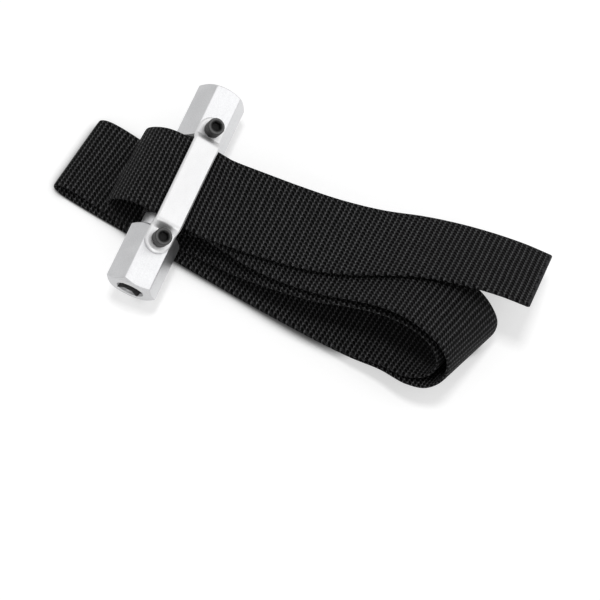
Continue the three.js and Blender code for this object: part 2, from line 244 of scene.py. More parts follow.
def round_bar(angle, radius, y):
    """A station at an angle round the bar's axis, from straight up."""
    turn = math.radians(angle)
    return [math.sin(turn) * radius, y, AXIS_HEIGHT + math.cos(turn) * radius, 0, 0]


print("layers centred at", [round(layer(n), 2) for n in (1, 2, 3)], "mm")

# %% Stations from the tail to the eye: x, y, z in millimetres, then skew and lean in degrees
TAIL = [
    [211.6, 19.2, 39.4, 5, -29], [194, 20, 38.8, 5, -28], [170, 18.5, 38.5, 5, -26],
    [149, 15, 38.6, 5, -23], [135, 11.3, 38.4, 5, -19], [114, 5.7, 36.4, 4, -14],
    [91, 2.3, 33.6, 3, -8], [67, 1.2, 31.8, 3, -4], [43, 0.8, 31.3, 2, -1], [27, 0.8, 31.2, 0, 0],
    [20, 1, 32, 0, 0]]
UNDER_BRIDGE = [round_bar(angle, EYE_OUTSIDE + above, y) for angle, above, y in (
    (56, 4.5, 1.2), (30, 2.3, 1.4), (4, 2.6, 1.8), (-20, 3.3, 2.6))]
SMALL_LOOP = [
    [-17, 4, 35.8, 2, 0], [-26, 4.4, 31, 2, 0], [-32.8, 4.6, 24, 2, 0], [-34.7, 4.4, 18, 3, 0],
    [-32.6, 3.2, 12.2, 3, 0], [-27.4, 1.4, 8.6, 4, 0], [-20, 0, layer(3) + 0.8, 5, 0],
    [-8, -1, layer(3), 5, 0]]
INNER_TOP = [
    [4, -2, layer(3), 6, 0], [14, -3, layer(3) + 0.3, 6, 0], [26, -4.4, 7.6, 6, 0],
    [40, -6.6, 9.8, 6, -3], [54, -9, 13.6, 7, -6], [80, -12, 20.8, 7, -12], [105, -13, 27, 8, -17],
    [121, -12, 31.4, 9, -20.5], [138, -11.8, 35.6, 10, -23.5], [150, -13, 38, 12, -25]]
INNER_TURN = [
    [162, -15.4, 39.6, 15, -25], [173, -18.6, 37.4, 18, -25], [180.4, -22.6, 31.6, 20, -25],
    [182.4, -26.6, 24.4, 20, -25], [178, -31, 17.6, 18, -25], [166, -33, 14.4, 14, -23]]
FLAT_END = [(85, -2), (110, -5), (132, -10)]  # x and lean where the flat runs begin to rise
INNER_BOTTOM = ([[150, -30, 13, 10, -18]] + [resting(2, x, lean) for x, lean in FLAT_END[::-1]]
                + [resting(2, x, 0) for x in (60, 30, 0, -15)])
OUTER_LEFT = [
    [-30, 0.6, layer(2) + 1, 10, 0], [-45, 4, layer(2) + 3, 10, 0],
    [-58, 6.2, layer(2) + 4.6, 9, 0], [-65.4, 6.8, layer(2) + 4.6, 8, 0],
    [-70.2, 6.6, layer(2) + 2.2, 8, 0], [-70.8, 5.8, layer(2), 8, 0],
    [-67.4, 4.6, layer(1) + 0.4, 8, 0], [-60, 3, layer(1), 9, 0]]
OUTER_BOTTOM = ([resting(1, x, 0) for x in (-45, -15, 15, 45, 60)]
                + [resting(1, x, lean) for x, lean in FLAT_END] + [[150, -31.4, 9.4, 10, -18]])
OUTER_TURN = [
    [168, -36, 11.6, 14, -23], [180.4, -36, 14, 19, -25], [188.2, -32, 22, 22, -25],
    [188.8, -26.4, 32, 22, -25], [182, -21, 40.8, 18, -25], [171.6, -17, 46, 15, -25],
    [159, -13.6, 47.6, 12, -25]]
OUTER_TOP = [
    [147, -11.4, 45.6, 9, -25], [136, -10, 42, 8, -24], [120, -9.6, 36.6, 7, -20.5],
    [105, -9.8, 32.2, 6, -17], [88, -8.8, 28.8, 5, -12], [70, -7, 26.8, 4, -8],
    [54, -4, 25.6, 3, -4], [43, -0.9, 25.2, 2, -1], [33, 1.2, 25.4, 0, 0]]
print(len(TAIL), "stations in the tail")

# %% The eye round the waist, its sewn tab, and all stations in order
EYE_LEAVES = 24  # the angle from straight up where the webbing leaves the waist
EYE_TOP_LINE = 12  # how far it runs on straight from there
EYE_ENDS = -205  # where its end comes off the waist
EYE_STEPS = 14
TAB_RISE = [[1.28, 0.245, -0.364], [1.672, 0.213, -0.036]]  # from the axis, in eye radii
TAB_AT = [26, 34, 42]  # x of the tab's stations
TAB_DROP = THICKNESS + 0.15  # the stitches pull the tab against its run


def leaving(distance):
    """A station on the straight line in which the webbing leaves the top of the waist."""
    x, y, z, _, _ = round_bar(EYE_LEAVES, EYE_RADIUS, EYE_SHIFT)
    slope = math.radians(EYE_LEAVES)
    return [x + distance * math.cos(slope), y, z - distance * math.sin(slope), 0, 0]


eye = [round_bar(EYE_LEAVES + (EYE_ENDS - EYE_LEAVES) * i / EYE_STEPS, EYE_RADIUS, EYE_SHIFT)
       for i in range(EYE_STEPS + 1)]
top_line = np.array(sorted(OUTER_TOP + [leaving(EYE_TOP_LINE)]))
tab = [[x] + [float(np.interp(x, top_line[:, 0], top_line[:, k])) for k in range(1, 5)]
       for x in TAB_AT]
for row in tab:
    row[2] -= TAB_DROP
rise = [[x * EYE_RADIUS, y * EYE_RADIUS, AXIS_HEIGHT + z * EYE_RADIUS, 0, 0]
        for x, y, z in TAB_RISE]
stations = np.array(
    TAIL + UNDER_BRIDGE + SMALL_LOOP + INNER_TOP + INNER_TURN + INNER_BOTTOM + OUTER_LEFT
    + OUTER_BOTTOM + OUTER_TURN + OUTER_TOP + [leaving(EYE_TOP_LINE), leaving(EYE_TOP_LINE / 2)]
    + eye + rise + tab, float)
bar_low, bar_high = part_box("drive_bar")
AXIS = np.array([(bar_low.x + bar_high.x) / 2, 0.0, (bar_low.z + bar_high.z) / 2])
print(len(stations), "stations; the bar's axis is at", np.round(AXIS / MM, 2), "mm")

# %% [markdown]
# ## From stations to evenly spaced rings
# A weave has to keep its size wherever the strap bends, so the rings are spaced evenly along the
# curve: the curve is sampled closely, its length is summed, and the samples are read again at
# equal steps of that length. Four rings stand in each thread of the weft, enough to press a
# shallow groove between one thread and the next.

# %% Helpers: smooth curves through stations
def cubics(start, end, out, into, per_span):
    """In each span the cubic from start to end that sets off with slope `out` and arrives with
    `into`: for t from 0 to 1 it is start + t (out + t (sag + t bend))."""
    t = np.linspace(0, 1, per_span, endpoint=False)[None, :, None]
    bend = 2 * (start - end) + out + into
    sag = 3 * (end - start) - 2 * out - into
    curve = start[:, None] + t * (out[:, None] + t * (sag[:, None] + t * bend[:, None]))
    return curve.reshape(-1, start.shape[1])


def spline(points, per_span):
    """Centripetal Catmull-Rom through the points: the slope at each comes from its neighbours,
    weighted by the square roots of the distances between them."""
    p = np.vstack([2 * points[0] - points[1], points, 2 * points[-1] - points[-2]])
    step = np.sqrt(np.linalg.norm(np.diff(p, axis=0), axis=1))[:, None]
    before, here, after = step[:-2], step[1:-1], step[2:]
    x0, x1, x2, x3 = p[:-3], p[1:-2], p[2:-1], p[3:]
    out = ((x1 - x0) / before - (x2 - x0) / (before + here) + (x2 - x1) / here) * here
    into = ((x2 - x1) / here - (x3 - x1) / (here + after) + (x3 - x2) / after) * here
    return np.vstack([cubics(x1, x2, out, into, per_span), points[-1:]])


def eased(columns, per_span):
    """Numbers given at the stations, carried smoothly through them with evenly weighted slopes."""
    c = np.vstack([columns[:1], columns, columns[-1:]])
    out, into = (c[2:-1] - c[:-3]) / 2, (c[3:] - c[1:-2]) / 2
    return np.vstack([cubics(c[1:-2], c[2:-1], out, into, per_span), columns[-1:]])


print("from 0 to 1 in two steps:", spline(np.array([[0.0], [1.0]]), 2).ravel())

# %% The strap's rings
WEFT_PITCH = 2.985  # from one cross thread to the next
RINGS_PER_WEFT = 4
PER_SPAN = 60  # samples between one station and the next


def run_along(points):
    """How far along the line each of its points lies."""
    return np.concatenate([[0], np.cumsum(np.linalg.norm(np.diff(points, axis=0), axis=1))])


def unit(arrows):
    return arrows / np.linalg.norm(arrows, axis=1)[:, None]


dense = spline(stations[:, :3], PER_SPAN)
dense_turns = np.radians(eased(stations[:, 3:], PER_SPAN))
run = run_along(dense)
LENGTH = run[-1]
ring_count = int(round(LENGTH / WEFT_PITCH * RINGS_PER_WEFT)) + 1
along = np.linspace(0, LENGTH, ring_count)
middle = np.stack([np.interp(along, run, dense[:, k]) for k in range(3)], 1)
skew, lean = (np.interp(along, run, column) for column in dense_turns.T)
tangent = unit(np.gradient(middle, along, axis=0))
across = np.stack([np.sin(skew) * np.cos(lean), np.cos(skew) * np.cos(lean), np.sin(lean)], 1)
outward = unit(np.cross(across, tangent))
print(f"strap {LENGTH:.1f} mm long, {ring_count} rings")

# %% [markdown]
# ## The strap's section
# Webbing isn't a sharp-edged plate: the weft turns back round the last warp thread, so each edge
# is a rounded selvage, thinner than the middle. The section is a closed line of points, evenly
# spaced across both faces, whose height falls off toward the edges. A cut end is melted, so it is
# pressed thinner and its corners are rounded off.

# %% The section's line
FACE_POINTS = 22  # across each face
EDGE_POINTS = 4  # round each edge
EDGE_ROUND = 0.95  # how far in from the edge the rounding starts
SELVAGE = 2.2  # the width over which the band thins toward its edge
SELVAGE_THIN = 0.82  # the share of the thickness left at the edge


def section():
    """A closed line round the band: place across, and height as a share of the half thickness.
    Beside it comes the distance walked along it to each point and back to the start, which the
    weave is laid out on."""
    side = WIDTH / 2 - EDGE_ROUND
    flat = np.linspace(-side, side, FACE_POINTS)
    turn = np.linspace(90, -90, EDGE_POINTS + 2)[1:-1] * math.pi / 180
    far = np.stack([side + EDGE_ROUND * np.cos(turn), np.sin(turn)], 1)
    top = np.stack([flat, np.ones(FACE_POINTS)], 1)
    half = np.vstack([top, far])
    line = np.vstack([half, -half])
    inwards = np.clip((WIDTH / 2 - abs(line[:, 0])) / SELVAGE, 0, 1)
    line[:, 1] *= SELVAGE_THIN + (1 - SELVAGE_THIN) * inwards
    return line, run_along(np.vstack([line * [1, HALF], line[:1]]))


profile, walked = section()
print(f"section of {len(profile)} points, {walked[-1]:.1f} mm round")

# %% Grooves, melted ends, and every point of the strap
GROOVE = 0.055  # depth pressed in between two cross threads
MELT = 1.3  # the length of the sealed lip at a cut end
MELT_THIN = 0.72  # the share of the thickness left at the cut
CORNER_CUT = 0.9  # how far each side is drawn in at the cut
CORNER_RUN = 1.5  # the length over which the corner is rounded


def to_metres(points):
    """From millimetres with the table at 0 under the bar's axis to metres in the shared frame."""
    return points * MM + [AXIS[0], 0, AXIS[2] - AXIS_HEIGHT * MM]


groove = -GROOVE * (0.5 + 0.5 * np.cos(2 * math.pi * (along / WEFT_PITCH + 0.5))) ** 2
groove[0] = groove[-1] = 0
to_end = np.minimum(along, LENGTH - along)
press = MELT_THIN + (1 - MELT_THIN) * np.clip(to_end / MELT, 0, 1) ** 0.5
corner = CORNER_CUT * (1 - np.sqrt(1 - (1 - np.clip(to_end / CORNER_RUN, 0, 1)) ** 2))
fall = np.clip((WIDTH / 2 - abs(profile[:, 0])) / EDGE_ROUND, 0, 1)
height = profile[None, :, 1] * (HALF * press[:, None] + groove[:, None] * fall[None, :])
reach = profile[None, :, 0] * (1 - corner[:, None] * 2 / WIDTH)
points = to_metres(middle[:, None] + across[:, None] * reach[..., None]
                   + outward[:, None] * height[..., None])
print("strap of", points.shape[0] * points.shape[1], "points")


# %% Helper: arrays become a mesh object
def make_object(name, vertices, *groups, uv=None):
    """A mesh object from arrays: vertices (n, 3) and groups of faces (m, k)."""
    mesh = bpy.data.meshes.new(name)
    mesh.from_pydata(vertices.tolist(), [], [f for group in groups for f in group.tolist()])
    if uv is not None:
        layer_uv = mesh.uv_layers.new(name="weave")
        layer_uv.data.foreach_set("uv", uv.astype(np.float32).ravel())
    mesh.polygons.foreach_set("use_smooth", np.ones(len(mesh.polygons), bool))
    mesh.update()
    return put_in_scene(name, mesh)


def ring_quads(rows, count):
    """Quads between `rows` closed rings of `count` points: each joins a point and the next one
    round to the same two on the next ring."""
    i, j = np.divmod(np.arange((rows - 1) * count), count)
    after = (j + 1) % count
    return np.stack([i * count + j, i * count + after, (i + 1) * count + after,
                     (i + 1) * count + j], 1)


print("two rings of three points need", len(ring_quads(2, 3)), "quads")


# %% Helper: a band of rings becomes a closed mesh
def band(name, rings, u, v):
    """A closed skin over rings (n, k, 3) with capped ends. A face corner's place on the weave is
    its ring's distance along, from u, and its point's distance round, from v."""
    n, k, _ = rings.shape
    sides = ring_quads(n, k)
    i, j = np.divmod(sides[:, 0], k)
    uv = np.stack([np.stack([u[i], u[i], u[i + 1], u[i + 1]], 1),
                   np.stack([v[j], v[j + 1], v[j + 1], v[j]], 1)], 2).reshape(-1, 2)
    half = k // 2
    a = np.arange(half - 1)
    strip = np.stack([a, a + 1, k - 2 - a, k - 1 - a], 1)
    caps = [strip[:, ::-1], strip + (n - 1) * k]
    if k % 2:  # an odd line leaves one triangle past the last strip
        tip = np.array([[half - 1, half, half + 1]])
        caps += [tip[:, ::-1], tip + (n - 1) * k]
    cap_uv = [np.stack([np.full(c.size, w), v[c.ravel() % k]], 1)
              for c, w in zip(caps, [u[0], u[-1]] * 2)]
    return make_object(name, rings.reshape(-1, 3), sides, *caps, uv=np.vstack([uv, *cap_uv]))


strap = band("webbing_strap_woven", points, along * MM, walked * MM)
print("strap faces:", len(strap.data.polygons))

# %% [markdown]
# ## What the webbing is made of
# Thick lengthwise yarns pass over one cross thread and under the next, and neighbours do it in
# turn, so the face shows rows of short oval floats with pits between. The pits and the low yarn
# between floats are painted near black, as painted shade. The pattern is worked out from the
# strap's own coordinates: U is the metres along the strap and V the metres round it.

# %% Sizes of the weave, and the place on it
YARN_PITCH = 1.12  # across the band, from one lengthwise yarn to the next
PIT_SLANT = 0.6  # climb of a pit across the band for each millimetre along it
PIT_SHIFT = 0.3  # from a bead to the pit after it, across the band
BEAD_SLANT = 0.1  # the same for a bead
BEAD_HALF = (1.25, 0.9)  # half a bead, along the band and across it
PIT_HALF = (1.45, 0.85)  # half a pit, the same way
BETWEEN_BEADS = 0.28  # height of a yarn between its beads, as a share of theirs
PAIRING = 0.03  # how far the rows of beads are drawn together in pairs, in rows
BEAD_RELIEF = 0.45 * MM  # shaded height of the beads
FIBRE_RELIEF = 0.03 * MM  # and of single fibres

g = new_material("black_plain_weave", strap)
weave_uv = g.split(g.add("ShaderNodeUVMap", uv_map="weave").outputs[0])
wander = g.minus(g.noise(g.vector(weave_uv[0], weave_uv[1]), 60.0, 2.0), 0.5)
u = g.times_plus(weave_uv[0], 1 / (WEFT_PITCH * MM), g.times(wander, 0.35))
u = g.times_plus(g.math("SINE", g.times(u, math.pi)), PAIRING, u)
v = g.times_plus(weave_uv[1], 1 / MM, g.times(wander, 0.3))
print("weave of", round(walked[-1] / YARN_PITCH), "yarns round the band")


# %% Beads and pits of the weave
def oval(x, y, half_x, half_y):
    """How deep a place (x, y) lies in an oval: 1 in its middle, and 0 on its line and past it."""
    x, y = g.math("DIVIDE", x, half_x), g.math("DIVIDE", y, half_y)
    squares = g.times_plus(x, x, g.times(y, y))
    return g.math("SUBTRACT", 1.0, squares, clamp=True)


def in_row(shift, lift, slant):
    """The row of cross threads that a place is in, and the place from the nearest bead of that row:
    along the band from the row's middle, and across it, where every second yarn has a bead."""
    row = g.math("FLOOR", g.math("ADD", u, shift))
    x = g.times(g.minus(g.minus(u, row), 0.5 - shift), WEFT_PITCH)
    y = g.times_plus(row, -YARN_PITCH, g.minus(v, lift))
    y = g.times_plus(x, -slant, y)
    return row, x, g.math("WRAP", y, YARN_PITCH, -YARN_PITCH)


bead_row, bead_x, bead_y = in_row(0.5, 0.0, BEAD_SLANT)
pit_row, pit_x, pit_y = in_row(0.0, PIT_SHIFT, PIT_SLANT)
bead = g.math("POWER", oval(bead_x, bead_y, *BEAD_HALF), 0.9)
depth = g.times_plus(g.math("PINGPONG", pit_row, 1.0), -0.2, 1.0)  # less in every second row
pit_and_shade = g.times(g.ramp(oval(pit_x, pit_y, *PIT_HALF), 0.0, 0.4), depth)
# the weave's height; it also darkens the colour below, as painted shade
crown_and_shade = g.times(g.times_plus(bead, 1 - BETWEEN_BEADS, BETWEEN_BEADS), g.minus(1.0, pit_and_shade))
# a pitch a hair too short keeps the quotient from falling on either side of a whole number
bead_yarn = g.math("FLOOR", g.math("DIVIDE", g.minus(v, bead_y), YARN_PITCH * 0.999))
bead_shade = g.add("ShaderNodeTexWhiteNoise", {"Vector": g.vector(bead_row, bead_yarn)}).outputs[0]
print("beads and pits laid out")

# %% Colour, gloss and relief of the yarn
fibre = g.noise(g.vector(g.times(weave_uv[0], 1500.0), g.times(weave_uv[1], 9000.0)), 1.0, 3.0, 0.6)
patch = g.noise(g.vector(weave_uv[0], weave_uv[1]), 14.0, 3.0)
near_edge = g.add("ShaderNodeAttribute", attribute_name="edge").outputs["Fac"]
melted = g.add("ShaderNodeAttribute", attribute_name="melt").outputs["Fac"]

lit = g.times(g.times_plus(bead_shade, 0.4, 0.8), g.times_plus(patch, 0.5, 0.75))
lit = g.times(lit, g.times_plus(fibre, 0.6, 0.7))
# painted shade: the weave's colour goes toward this black where it lies low, in pits and between
# beads
PIT_SHADE = grey(0.0)
YARN = (0.084, 0.084, 0.086, 1)
SELVAGE_YARN = (0.075, 0.075, 0.077, 1)
yarn_colour = g.mix(g.ramp(near_edge, 0.45, 0.9), YARN, SELVAGE_YARN)
shaded = g.dimmed(yarn_colour, lit)
# painted shade: the lower the weave lies, the nearer its colour is to black
woven_with_shade = g.mix(g.ramp(crown_and_shade, 0.0, 1.0), PIT_SHADE, shaded)
SEALED = (0.035, 0.035, 0.037, 1)
colour = g.mix(melted, woven_with_shade, SEALED)
relief = g.times(crown_and_shade, g.minus(1.0, g.times(melted, 0.85)))
rough = g.minus(g.times_plus(fibre, 0.25, 0.55), g.times(melted, 0.25))
normal = g.bump(relief, BEAD_RELIEF, Normal=g.bump(fibre, FIBRE_RELIEF))
g.surface(Base_Color=colour, Roughness=rough, Normal=normal, Specular_IOR_Level=0.05)
print("beads shaded", round(BEAD_RELIEF / MM, 2), "mm high")

# %% [markdown]
# The selvage and the melted lips need their own shading, so the mesh carries two numbers at each
# point: how near it is to an edge of the band and to a cut end.

# %% Edge and melt numbers on the strap
def point_number(piece, name, values):
    attribute = piece.data.attributes.new(name, "FLOAT", "POINT")
    attribute.data.foreach_set("value", values.astype(np.float32).ravel())


edge = np.broadcast_to(np.clip(1 - (WIDTH / 2 - abs(profile[:, 0])) / SELVAGE, 0, 1),
                       (ring_count, len(profile)))
# the melted edge wanders by up to 0.6 mm across the band
wobble = 0.35 * np.sin(profile[:, 0] * 1.9) + 0.25 * np.sin(profile[:, 0] * 0.83 + 1.0)
melt = np.clip((MELT + 0.5 + wobble[None, :] - to_end[:, None]) / 0.7, 0, 1)
point_number(strap, "edge", edge)
point_number(strap, "melt", melt)
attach(strap, "strap")
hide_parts("webbing_strap")
print("strap rides on its body")

# %% [markdown]
# ## The seam of the eye
# The strap's end is sewn under the run that leaves the bar, in three rows of lockstitch across
# the band. Each stitch comes out of the webbing, arches over it and goes back in, so it is a tube
# carried along half a sine wave. It lies on the outside of both layers; the webbing's own rings
# say where that is and which way is up.

# %% Stitches
STITCH_ROWS = [3.5, 8.5, 13.5]  # from the sewn end
STITCH_LENGTH = 3.0
STITCH_PITCH = 3.5
THREAD_RADIUS = 0.32
SEAM_HALF = 21.0  # how far the rows reach to each side of the band's middle
RUN_SEARCH = (60, 230)  # how far back along the strap the run over the tab can be


def stitch_tubes(ring, up):
    """Tubes over the face of the band at this ring. For t from 0 to 1 a thread's middle goes
    straight across the band, and its height over the face is the sine of half a turn; its thickness
    is a circle of the thread's radius, drawn in at both ends."""
    starts = np.arange(-SEAM_HALF, SEAM_HALF - STITCH_LENGTH + 0.01, STITCH_PITCH)
    t = np.linspace(0, 1, 8)
    turn = np.arange(6) * math.pi / 3
    arch = np.sin(math.pi * t)
    girth = THREAD_RADIUS * np.sqrt(0.25 + 0.75 * arch)
    w = starts[:, None, None] + t[None, :, None] * STITCH_LENGTH
    lift = HALF + THREAD_RADIUS * (1.3 * arch - 0.8)
    rise = lift[None, :, None] + girth[None, :, None] * np.sin(turn)
    aside = np.broadcast_to(girth[None, :, None] * np.cos(turn), rise.shape)
    return (middle[ring] + across[ring] * w[..., None] + outward[ring] * up * rise[..., None]
            + tangent[ring] * aside[..., None])


# %% Rows of stitches on both faces of the seam
tubes = []
back = np.flatnonzero((along > LENGTH - RUN_SEARCH[1]) & (along < LENGTH - RUN_SEARCH[0]))
for distance in STITCH_ROWS:
    on_tab = int(np.argmin(abs(along - (LENGTH - distance))))
    above = back[np.argmin(np.linalg.norm(middle[back] - middle[on_tab], axis=1))]
    apart = middle[above] - middle[on_tab]
    tubes.append(stitch_tubes(on_tab, -np.sign(apart @ outward[on_tab])))
    tubes.append(stitch_tubes(above, np.sign(apart @ outward[above])))
tubes = np.concatenate(tubes)
print(len(tubes), "stitches laid out")

# %% Thread skin
SAME_POINT = 1e-7  # metres; points nearer than this are one point


def face_outwards(piece):
    """Merges doubled points, points every face outwards, and returns how many edges are open."""
    work = bmesh.new()
    work.from_mesh(piece.data)
    bmesh.ops.remove_doubles(work, verts=work.verts, dist=SAME_POINT)
    bmesh.ops.recalc_face_normals(work, faces=work.faces)
    open_edges = sum(1 for e in work.edges if not e.is_manifold)
    work.to_mesh(piece.data)
    work.free()
    return open_edges


count, steps, sides = tubes.shape[:3]
first = np.arange(count)[:, None] * steps * sides
skin = (first[..., None] + ring_quads(steps, sides)).reshape(-1, 4)
end = first + np.arange(sides)
ends = np.concatenate([end[:, ::-1], end + (steps - 1) * sides])
seam = make_object("eye_seam_stitches", to_metres(tubes.reshape(-1, 3)), skin, ends)
print("seam of", len(seam.data.polygons), "faces,", face_outwards(seam), "open edges")

# %% Thread material, and the strap's size
g = new_material("bonded_nylon_thread", seam)
twist = g.noise(g.stretched(g.object_place(), 2600, 900, 2600), 1.0, 3.0, 0.6)
g.surface(Base_Color=g.mix(twist, grey(0.012), grey(0.06)),
          Roughness=g.ramp(twist, 0.3, 0.7, 0.45, 0.6), Normal=g.bump(twist, 0.05 * MM))
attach(seam, "strap")
print("sheet of", WIDTH, "by", round(LENGTH), "mm")

# %% [markdown]
# ## Rounded profiles for the metal pieces
# A machined edge is never perfectly sharp, and the thin bright line it makes tells the eye that a
# thing is metal. Each profile below is a line of corners. Every corner is replaced by a short
# curve, with one more point beside it on each flat, so smooth shading stays crisp right up to the
# edge.

# %% Helper: a profile with broken corners
SUPPORT = 2.5  # where the support points stand, in reaches from the corner


def broken(corners, radius):
    """A line through the corners, each one eased by a quadratic curve that starts and ends `radius`
    away, or a third of the shorter side if that is less; support points stand further off, at
    most two fifths of a side."""
    corners = np.asarray(corners, float)
    line = [corners[0]]
    for before, corner, after in zip(corners[:-2], corners[1:-1], corners[2:]):
        sides = np.array([before - corner, after - corner])
        lengths = np.linalg.norm(sides, axis=1)
        ways = sides / lengths[:, None]
        reach = min(radius, *lengths / 3)
        start, end = corner + ways * reach
        supports = corner + ways * np.minimum(SUPPORT * reach, lengths / 2.5)[:, None]
        t = np.linspace(0, 1, 5)[:, None]
        curve = (1 - t) ** 2 * start + 2 * t * (1 - t) * corner + t ** 2 * end
        line += [supports[0], *curve, supports[1]]
    line.append(corners[-1])
    return np.array(line)


print("one broken corner takes", len(broken([[0, 0], [9, 0], [9, 9]], 0.3)) - 2, "points")


# %% Helper: rows round an axis become a closed mesh
def soft_min(a, b, k):
    """The smaller of two numbers, blended over about k where they are close."""
    low = np.minimum(a, b)
    return low - k * np.log(np.exp((low - a) / k) + np.exp((low - b) / k))


def polygon_radius(angle, inner, sides):
    """Distance from the centre to a regular polygon whose flats are `inner` away, at this angle."""
    step = 2 * math.pi / sides
    return inner / np.cos((angle + step / 2) % step - step / 2)


def turned(name, angle, rows, place):
    """A closed skin of rows round an axis. A row is its height and its radius, which is one number
    or one for each angle; the first and last rows have none and are single points on the axis.
    `place` turns (radius, angle, height) into x, y, z."""
    heights, radii = (np.array([row[k] + 0 * angle for row in rows]) for k in (0, 1))
    count = len(angle)
    grid = place(radii, np.broadcast_to(angle, radii.shape), heights)
    inner = grid[1:-1].reshape(-1, 3)
    poles = np.stack([grid[0, 0], grid[-1, 0]])
    j = np.arange(count)
    after = (j + 1) % count
    first = len(inner)
    last = (len(rows) - 3) * count
    fans = np.vstack([np.stack([np.full(count, first), after, j], 1),
                      np.stack([np.full(count, first + 1), last + j, last + after], 1)])
    return make_object(name, np.vstack([inner, poles]), ring_quads(len(rows) - 2, count), fans)


print(f"hexagon's corners {polygon_radius(math.pi / 6, HEX_FLAT, 6):.2f} mm from its axis")

# %% Helpers: the bar's own axes, and the last touches
BAR_ROLL = math.radians(25)


def in_bar(x, y, z):
    """Points in the bar's own millimetres, bridge straight up, to metres as the bar lies."""
    turned_x = x * math.cos(BAR_ROLL) + z * math.sin(BAR_ROLL)
    turned_z = -x * math.sin(BAR_ROLL) + z * math.cos(BAR_ROLL)
    return np.stack([turned_x, y + 0 * x, turned_z], -1) * MM + AXIS


def finish_piece(piece, node):
    """Closes the mesh, points its faces outwards, hides the CAD part it stands for, and hangs
    it on the bar's body.
    """
    open_edges = face_outwards(piece)
    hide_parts(node)
    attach(piece, "bar")
    print(piece.name, len(piece.data.polygons), "faces,", open_edges, "open edges")
    return piece


print(f"bridge {math.degrees(BAR_ROLL):.0f} degrees off straight up")

# %% [markdown]
# ## The drive bar
# The bar is a hexagon with a waist turned into it. At each end of each hexagon a cone is turned
# over the corners, and where cone and flats cross they leave the scalloped edge known from nuts.
# That crossing needs no cutting here: at every angle and height the radius is the smaller of the
# hexagon's and the cone's. The square socket is the same thought inwards: the largest of the
# square's radius, the drilled pilot's and the countersink's.

# %% Sizes of the bar, and the angles its rows are read at
BAR_HALF = 66.0
WAIST_HALF = 29.0
CHAMFER_CIRCLE = 12.5  # radius of the end face that the cone leaves
CHAMFER_SLOPE = math.tan(math.radians(30))
SOCKET = 6.4  # from the axis to a side of the square
SOCKET_DEPTH = 17.0
PILOT = 6.8  # radius of the hole that the square was broached into
PILOT_DEPTH = 19.5
DRILL_POINT = math.radians(59)  # half the angle of the drill's tip
SINK = 8.2  # radius of the countersink at the face
OUT = 16.5  # a radius past the hexagon's corners
FACE_RING = CHAMFER_CIRCLE - 1.2  # radius of the ring on an end face that supports its edge
CONE_STEP = 0.12  # between rows on a cone

hex_corners = np.arange(30, 360, 60)
square_corners = np.arange(45, 360, 90)
degrees = np.unique(np.round(np.concatenate([
    np.arange(0, 360, 2), (hex_corners[:, None] + np.linspace(-2.5, 2.5, 13)).ravel(),
    (square_corners[:, None] + np.linspace(-1.5, 1.5, 7)).ravel()]), 4))
bar_angle = np.radians(degrees)
hexagon = soft_min(polygon_radius(bar_angle, HEX_FLAT, 6), HEX_CORNER - 0.1, 0.05)
square = np.maximum(polygon_radius(bar_angle, SOCKET, 4), PILOT)
print("rows of", len(bar_angle), "angles")


# %% Bar surface
def hole_rows():
    """From the drill point up the pilot and the square to the end face: depth and radius."""
    tip = PILOT_DEPTH + PILOT / math.tan(DRILL_POINT)
    round_part = broken([[tip, 0], [PILOT_DEPTH, PILOT], [SOCKET_DEPTH, PILOT]], 0.3)
    rows = list(round_part)
    rows.append((SOCKET_DEPTH, PILOT + (square - PILOT) * 0.9))
    depths = [SOCKET_DEPTH - 0.2, SOCKET_DEPTH - 0.8, 10, 4, 2, 1.7, *np.arange(1.5, 0.05, -0.15)]
    rows += [(depth, -soft_min(-square, depth - SINK, 0.04)) for depth in depths]
    rim = -soft_min(-square, -SINK, 0.04)
    rows += [(0.04, rim + 0.01), (0.0, rim + 0.08), (0.0, rim + 0.3)]
    return rows


def hexagon_rows(low, high):
    """The outside of one hexagon from its low end face to its high one, with a cone at each."""
    run = (OUT - CHAMFER_CIRCLE) * CHAMFER_SLOPE
    line = broken([[low, FACE_RING], [low, CHAMFER_CIRCLE], [low + run, OUT], [high - run, OUT],
                   [high, CHAMFER_CIRCLE], [high, FACE_RING]], 0.25)
    fine = []
    for a, b in zip(line[:-1], line[1:]):
        on_cone = min(a[1], b[1]) < OUT - 0.01
        points = max(2, int(abs(b[0] - a[0]) / CONE_STEP)) if on_cone else 2
        fine.append(np.linspace(a, b, points)[:-1])
    return [(y, soft_min(hexagon, r, 0.10)) for y, r in np.vstack(fine + [line[-1:]])]


waist_line = broken([[-WAIST_HALF, FACE_RING], [-WAIST_HALF, WAIST_RADIUS],
                     [WAIST_HALF, WAIST_RADIUS], [WAIST_HALF, FACE_RING]], 0.4)[1:-1]
rows = [(-BAR_HALF + y, r) for y, r in hole_rows()] + hexagon_rows(-BAR_HALF, -WAIST_HALF)
rows += list(waist_line) + hexagon_rows(WAIST_HALF, BAR_HALF)
rows += [(BAR_HALF, r) for r in (CHAMFER_CIRCLE - 2, 8, 4, 1, 0)]
drive_bar = turned("drive_bar_plated", bar_angle, rows,
                   lambda r, a, h: in_bar(r * np.sin(a), h, r * np.cos(a)))
finish_piece(drive_bar, "drive_bar")

# %% [markdown]
# ## The bridge
# The bridge is a strip of plate bent in two steps, so that its middle stands clear of the waist
# for the tail to run under. It is laid out flat as a strip with round ends: rings of that outline
# go from the middle of the underside out to the edge, up its wall and bevel, and back in over its
# top. Bending comes last: the distance along the strip is read on a bent line, and the height
# above the underside is measured square to that line, as in a real bend.

